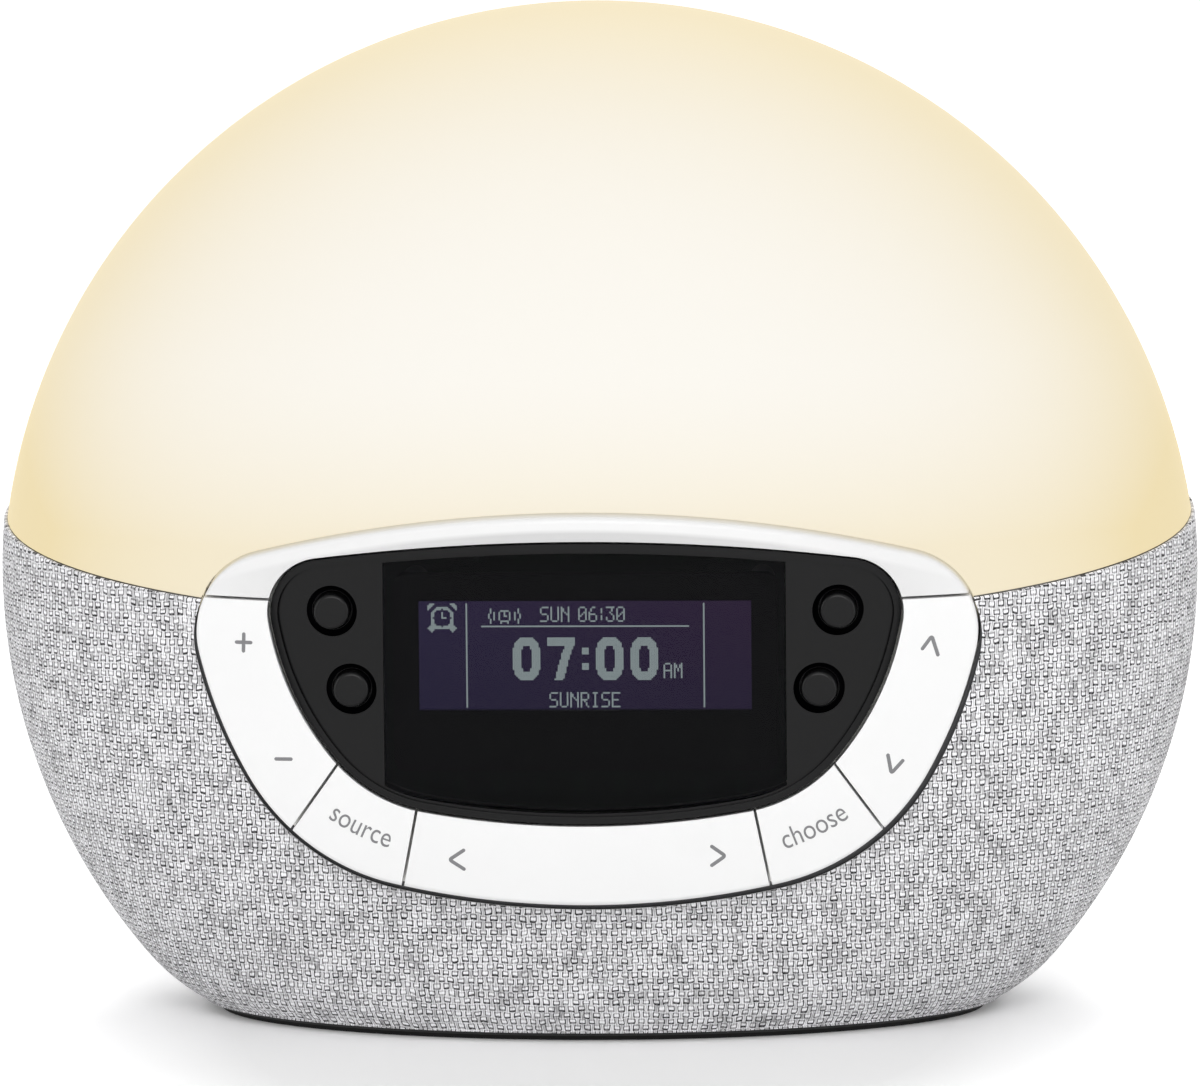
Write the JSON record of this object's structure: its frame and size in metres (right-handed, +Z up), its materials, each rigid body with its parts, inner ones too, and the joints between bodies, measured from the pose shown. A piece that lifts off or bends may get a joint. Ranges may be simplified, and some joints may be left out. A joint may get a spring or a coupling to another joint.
{
  "type": "sunrise alarm clock",
  "caption": "Sunrise alarm clock: glowing dome on a cloth-covered base with a D-shaped console of rocker keys, round buttons and a dot display",
  "frame": {"origin": "centre of the foot pad's underside, on the table", "axes": "+X to the user's right along the clock's width, -Y towards the user (the console side), +Z up"},
  "size_m": [0.21, 0.1226, 0.1775],
  "materials": {
    "milky_dome": "translucent satin",
    "white_key": "satin",
    "white_inner": "satin",
    "cloth": "woven",
    "grey_shell": "satin",
    "black_base": "satin",
    "black_gloss": "gloss",
    "smoked_window": "clear smoked",
    "display_glass": "gloss",
    "black_rubber": "matte",
    "steel": "brushed",
    "aluminium": "satin",
    "board_green": "satin",
    "board_white": "satin",
    "chip_black": "matte",
    "led_yellow": "gloss",
    "shield_tin": "bright",
    "paper_cone": "pressed",
    "ferrite": "matte",
    "lead_red": "matte",
    "ribbon_grey": "matte",
    "cap_blue": "satin"
  },
  "bodies": {
    "clock": {"dome_diffuser": "milky_dome", "dome_gasket": "ribbon_grey", "light_tray": "white_inner", "case_screws": "steel", "led_board": "board_white", "led_chips": "led_yellow", "led_heat_sink": "aluminium", "fabric_wrap": "cloth", "base_shell": "grey_shell", "base_plate": "black_base", "foot_pad": "black_rubber", "console_frame": "white_inner", "top_trim": "white_key", "black_panel": "black_gloss", "display_window": "smoked_window", "display_bezel": "black_base", "display_cell": "display_glass", "display_board": "board_green", "display_spacers": "white_inner", "key_board": "board_green", "tact_switches": "chip_black", "rocker_pins": "steel", "console_cover": "white_inner", "main_board": "board_green", "board_screws": "steel", "main_processor": "chip_black", "radio_module": "shield_tin", "capacitors": "cap_blue", "board_connectors": "white_inner", "cell_holder": "black_base", "backup_cell": "steel", "socket_panel": "black_base", "power_jack": "black_base", "aerial_gland": "black_rubber", "led_leads": "lead_red", "speaker_leads": "lead_red", "console_ribbon": "ribbon_grey", "speaker_gaskets": "black_rubber", "speaker_baskets": "steel", "speaker_surrounds": "black_rubber", "speaker_cones": "paper_cone", "speaker_magnets": "ferrite"},
    "volume_rocker_body": {"volume_rocker": "white_key", "volume_plungers": "chip_black"},
    "updown_rocker_body": {"updown_rocker": "white_key", "updown_plungers": "chip_black"},
    "arrow_rocker_body": {"arrow_rocker": "white_key", "arrow_plungers": "chip_black"},
    "left_key_body": {"left_key": "white_key", "left_key_plunger": "chip_black"},
    "right_key_body": {"right_key": "white_key", "right_key_plunger": "chip_black"},
    "button_upper_left_body": {"button_upper_left": "black_gloss", "button_upper_left_plunger": "chip_black"},
    "button_upper_right_body": {"button_upper_right": "black_gloss", "button_upper_right_plunger": "chip_black"},
    "button_lower_left_body": {"button_lower_left": "black_gloss", "button_lower_left_plunger": "chip_black"},
    "button_lower_right_body": {"button_lower_right": "black_gloss", "button_lower_right_plunger": "chip_black"}
  },
  "joints": [
    {"name": "volume_rocker_tilt", "type": "hinge", "parent": "clock", "child": "volume_rocker_body", "pos_m": [-0.0574, -0.04544, 0.062], "axis": [-0.8902, 0.3366, 0.3071], "range_deg": [-1.8, 1.8], "stiffness_Nm_per_rad": 1.5},
    {"name": "arrow_rocker_tilt", "type": "hinge", "parent": "clock", "child": "arrow_rocker_body", "pos_m": [0, -0.05348, 0.0348], "axis": [0, -0.121, 0.9927], "range_deg": [-1.8, 1.8], "stiffness_Nm_per_rad": 1.5},
    {"name": "updown_rocker_tilt", "type": "hinge", "parent": "clock", "child": "updown_rocker_body", "pos_m": [0.0574, -0.04544, 0.062], "axis": [0.8902, 0.3366, 0.3071], "range_deg": [-1.8, 1.8], "stiffness_Nm_per_rad": 1.5},
    {"name": "left_key_press", "type": "slide", "parent": "clock", "child": "left_key_body", "axis": [0, 1, 0], "range_m": [0, 0.0008], "stiffness_N_per_m": 2500},
    {"name": "right_key_press", "type": "slide", "parent": "clock", "child": "right_key_body", "axis": [0, 1, 0], "range_m": [0, 0.0008], "stiffness_N_per_m": 2500},
    {"name": "button_upper_left_press", "type": "slide", "parent": "clock", "child": "button_upper_left_body", "axis": [0, 1, 0], "range_m": [0, 0.0008], "stiffness_N_per_m": 2500},
    {"name": "button_upper_right_press", "type": "slide", "parent": "clock", "child": "button_upper_right_body", "axis": [0, 1, 0], "range_m": [0, 0.0008], "stiffness_N_per_m": 2500},
    {"name": "button_lower_left_press", "type": "slide", "parent": "clock", "child": "button_lower_left_body", "axis": [0, 1, 0], "range_m": [0, 0.0008], "stiffness_N_per_m": 2500},
    {"name": "button_lower_right_press", "type": "slide", "parent": "clock", "child": "button_lower_right_body", "axis": [0, 1, 0], "range_m": [0, 0.0008], "stiffness_N_per_m": 2500}
  ]
}
